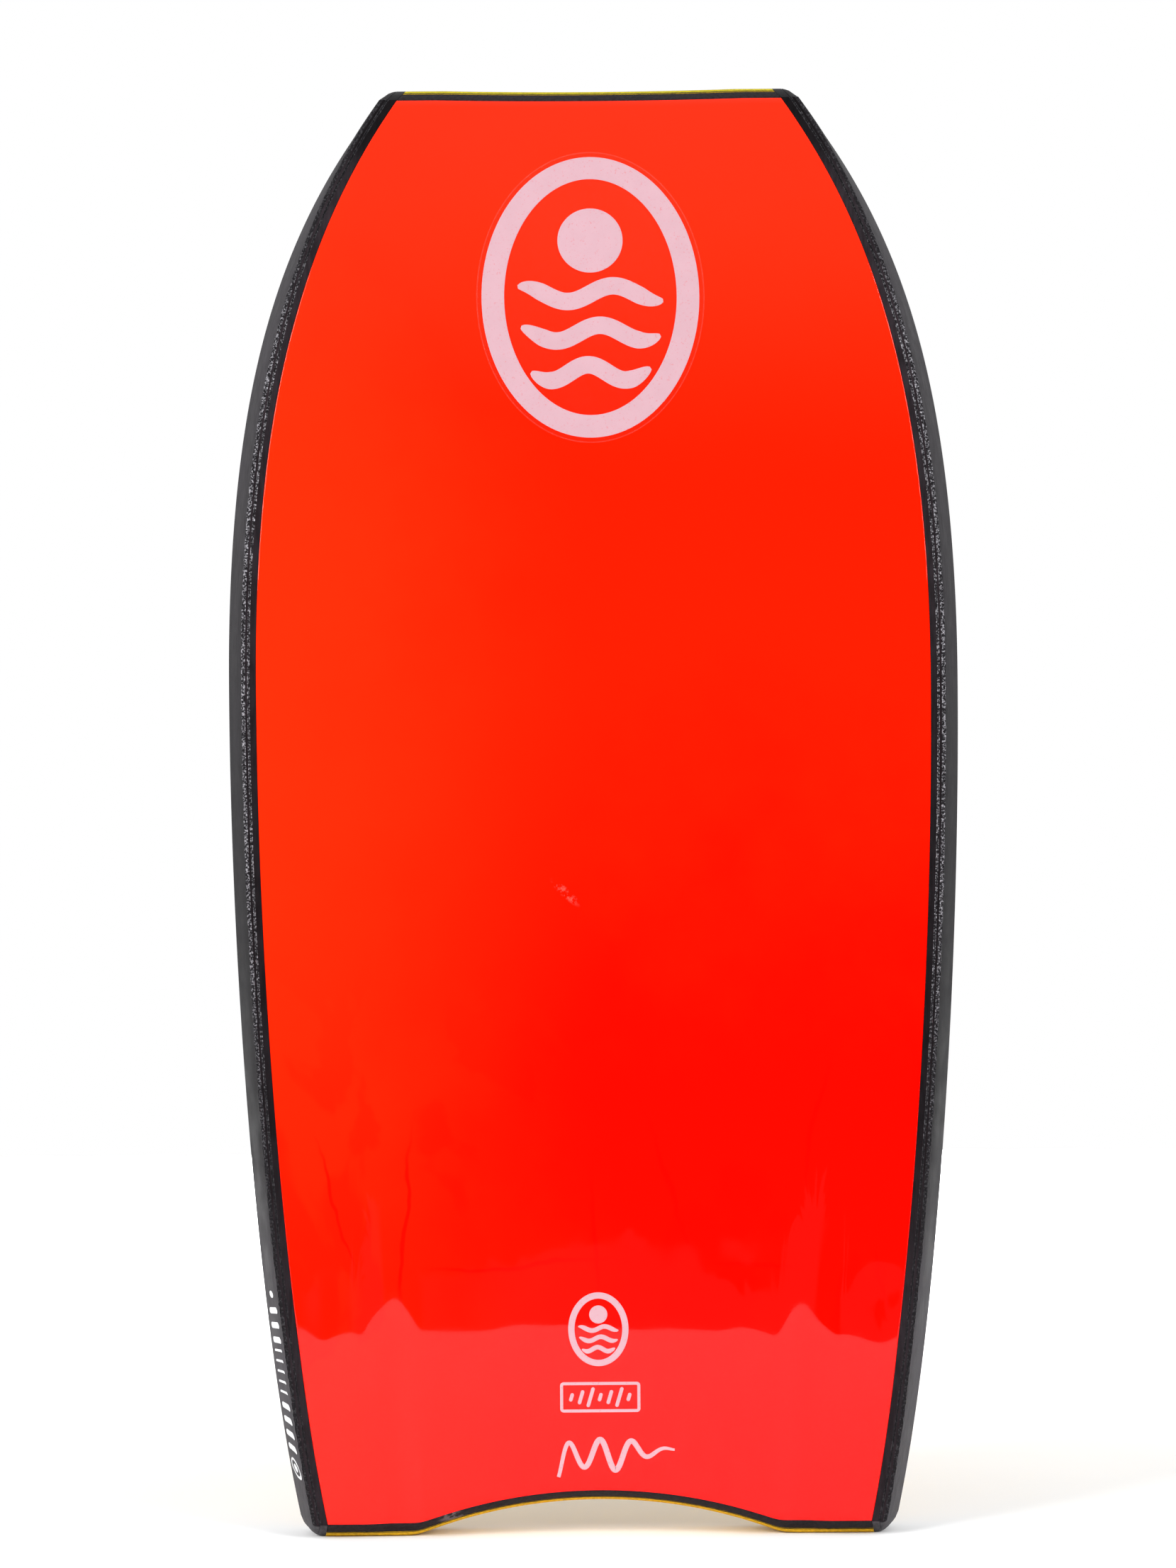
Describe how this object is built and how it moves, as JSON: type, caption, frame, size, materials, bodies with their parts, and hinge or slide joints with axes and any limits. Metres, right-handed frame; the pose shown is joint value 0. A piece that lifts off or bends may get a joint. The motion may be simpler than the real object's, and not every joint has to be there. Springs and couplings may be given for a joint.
{
  "type": "bodyboard",
  "caption": "Foam bodyboard with a glossy slick bottom, layered foam rails, a soft deck, a squared nose and a crescent tail.",
  "frame": {"origin": "centre of the bounding box's bottom: the board stands on its tail pads", "axes": "+Z from tail to nose, -Y out of the slick bottom, +Y out of the deck, X across the board"},
  "size_m": [0.5374, 0.0875, 1.067],
  "materials": {
    "core_foam": "matt expanded foam",
    "stringer_composite": "satin black tube",
    "plug_plastic": "satin",
    "net": "woven net, bonded",
    "slick": "glossy red",
    "deck": "matt textured yellow foam skin",
    "rail": "satin black foam, rough where it is trimmed",
    "end_strip": "satin black foam",
    "clear_film": "clear"
  },
  "bodies": {
    "root": {"foam_core": "core_foam", "stringer_tube": "stringer_composite", "stringer_nose_plug": "plug_plastic", "stringer_tail_plug": "plug_plastic", "slick_mesh": "net", "slick_skin": "slick", "deck_skin": "deck", "inner_rail_left": "rail", "inner_rail_right": "rail", "lower_rail_left": "rail", "lower_rail_right": "rail", "upper_rail_left": "rail", "upper_rail_right": "rail", "nose_strip": "end_strip", "tail_strip": "end_strip", "nose_bulb_left": "core_foam", "nose_bulb_right": "core_foam", "nose_emblem_film": "clear_film"}
  },
  "joints": []
}
